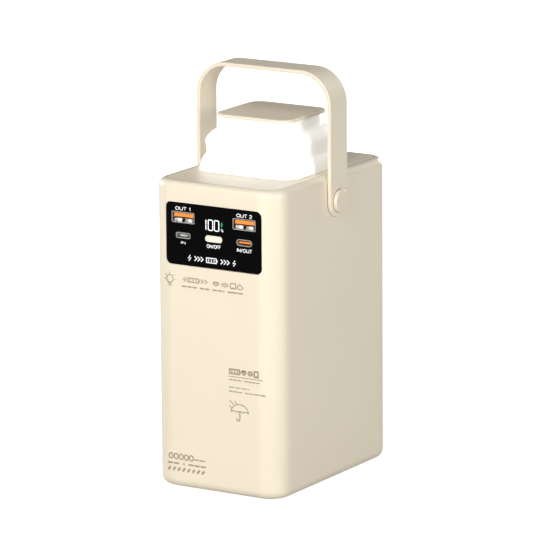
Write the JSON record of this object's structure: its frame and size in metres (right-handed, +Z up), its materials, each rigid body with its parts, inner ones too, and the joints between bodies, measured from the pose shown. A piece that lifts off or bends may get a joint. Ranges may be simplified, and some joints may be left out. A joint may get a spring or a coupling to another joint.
{
  "type": "power bank",
  "caption": "Upright block-shaped power bank with a folding carry handle, a black charging panel with sockets, key and display, and a collapsible square lantern on top.",
  "frame": {"origin": "middle of the casing's footprint, on the plane of the feet", "axes": "+Z up, +X to the object's right as its front is seen, the charging panel faces -Y"},
  "size_m": [0.0822, 0.11, 0.2091],
  "materials": {
    "casing": "fine moulded texture, warm cream",
    "panel": "polished black acrylic",
    "tape": "adhesive tape",
    "button": "satin cream",
    "switch_black": "matt moulded",
    "display_lit": "lit segments",
    "socket_metal": "tinned sheet",
    "tongue_orange": "matt moulded",
    "contact_gold": "gold flash",
    "board": "solder mask",
    "chip": "matt epoxy",
    "ferrite": "moulded ferrite",
    "can_metal": "drawn can",
    "connector": "moulded",
    "screw_steel": "zinc plated",
    "cell": "shrink sleeve over a steel can",
    "holder": "moulded",
    "nickel": "rolled strip",
    "paper": "insulating paper",
    "foam": "closed-cell foam",
    "lead_red": "silicone insulation",
    "lead_black": "silicone insulation",
    "led_board_white": "white solder mask on aluminium",
    "led_yellow": "phosphor",
    "shade_silicone": "translucent white silicone, lit from inside",
    "ring_white": "moulded",
    "foot_rubber": "matt"
  },
  "bodies": {
    "casing": {"main_shell": "casing", "top_cover": "casing", "bottom_cover": "casing", "foot_front_left": "foot_rubber", "foot_front_right": "foot_rubber", "foot_rear_right": "foot_rubber", "foot_rear_left": "foot_rubber", "bottom_screws": "screw_steel", "front_panel": "panel", "panel_adhesive": "tape", "tact_switch": "switch_black", "display_module": "switch_black", "display_digits": "display_lit", "usb_a_left_shell": "socket_metal", "usb_a_left_tongue": "tongue_orange", "usb_a_left_contacts": "contact_gold", "usb_a_right_shell": "socket_metal", "usb_a_right_tongue": "tongue_orange", "usb_a_right_contacts": "contact_gold", "micro_usb_shell": "socket_metal", "micro_usb_tongue": "socket_metal", "usb_c_shell": "socket_metal", "usb_c_tongue": "tongue_orange", "port_board": "board", "board_screws": "screw_steel", "inductor": "ferrite", "controller_chip": "chip", "battery_connector": "connector", "lamp_connector": "connector", "mosfets": "chip", "capacitors": "can_metal", "lower_cells": "cell", "upper_cells": "cell", "lower_cell_holders": "holder", "upper_cell_holders": "holder", "nickel_strips_bottom": "nickel", "nickel_strips_middle": "nickel", "nickel_strips_top": "nickel", "insulation_sheet": "paper", "foam_pad": "foam", "battery_lead_red": "lead_red", "battery_lead_black": "lead_black", "lamp_lead_red": "lead_red", "lamp_lead_black": "lead_black", "led_board": "led_board_white", "leds": "led_yellow", "lamp_shade": "shade_silicone", "shade_clamp_ring": "ring_white", "shade_clamp_screws": "screw_steel", "pivot_cap_left": "casing", "pivot_cap_right": "casing", "pivot_washers": "screw_steel", "pivot_screws": "screw_steel"},
    "handle": {"handle": "casing"},
    "button": {"power_button": "button", "switch_plunger": "switch_black"},
    "lamp_cap": {"lamp_cap": "casing", "lamp_cap_clamp": "ring_white", "lamp_cap_screws": "screw_steel"}
  },
  "joints": [
    {"name": "handle_swing", "type": "hinge", "parent": "casing", "child": "handle", "pos_m": [0, 0, 0.1438], "axis": [1, 0, 0], "range_deg": [-110, 110]},
    {"name": "button_press", "type": "slide", "parent": "casing", "child": "button", "axis": [0, 1, 0], "range_m": [0, 0.0005], "stiffness_N_per_m": 400, "springref_m": -0.0005},
    {"name": "lamp_collapse", "type": "slide", "parent": "casing", "child": "lamp_cap", "axis": [0, 0, 1], "range_m": [-0.02, 0], "deforming": ["lamp_shade"]}
  ]
}
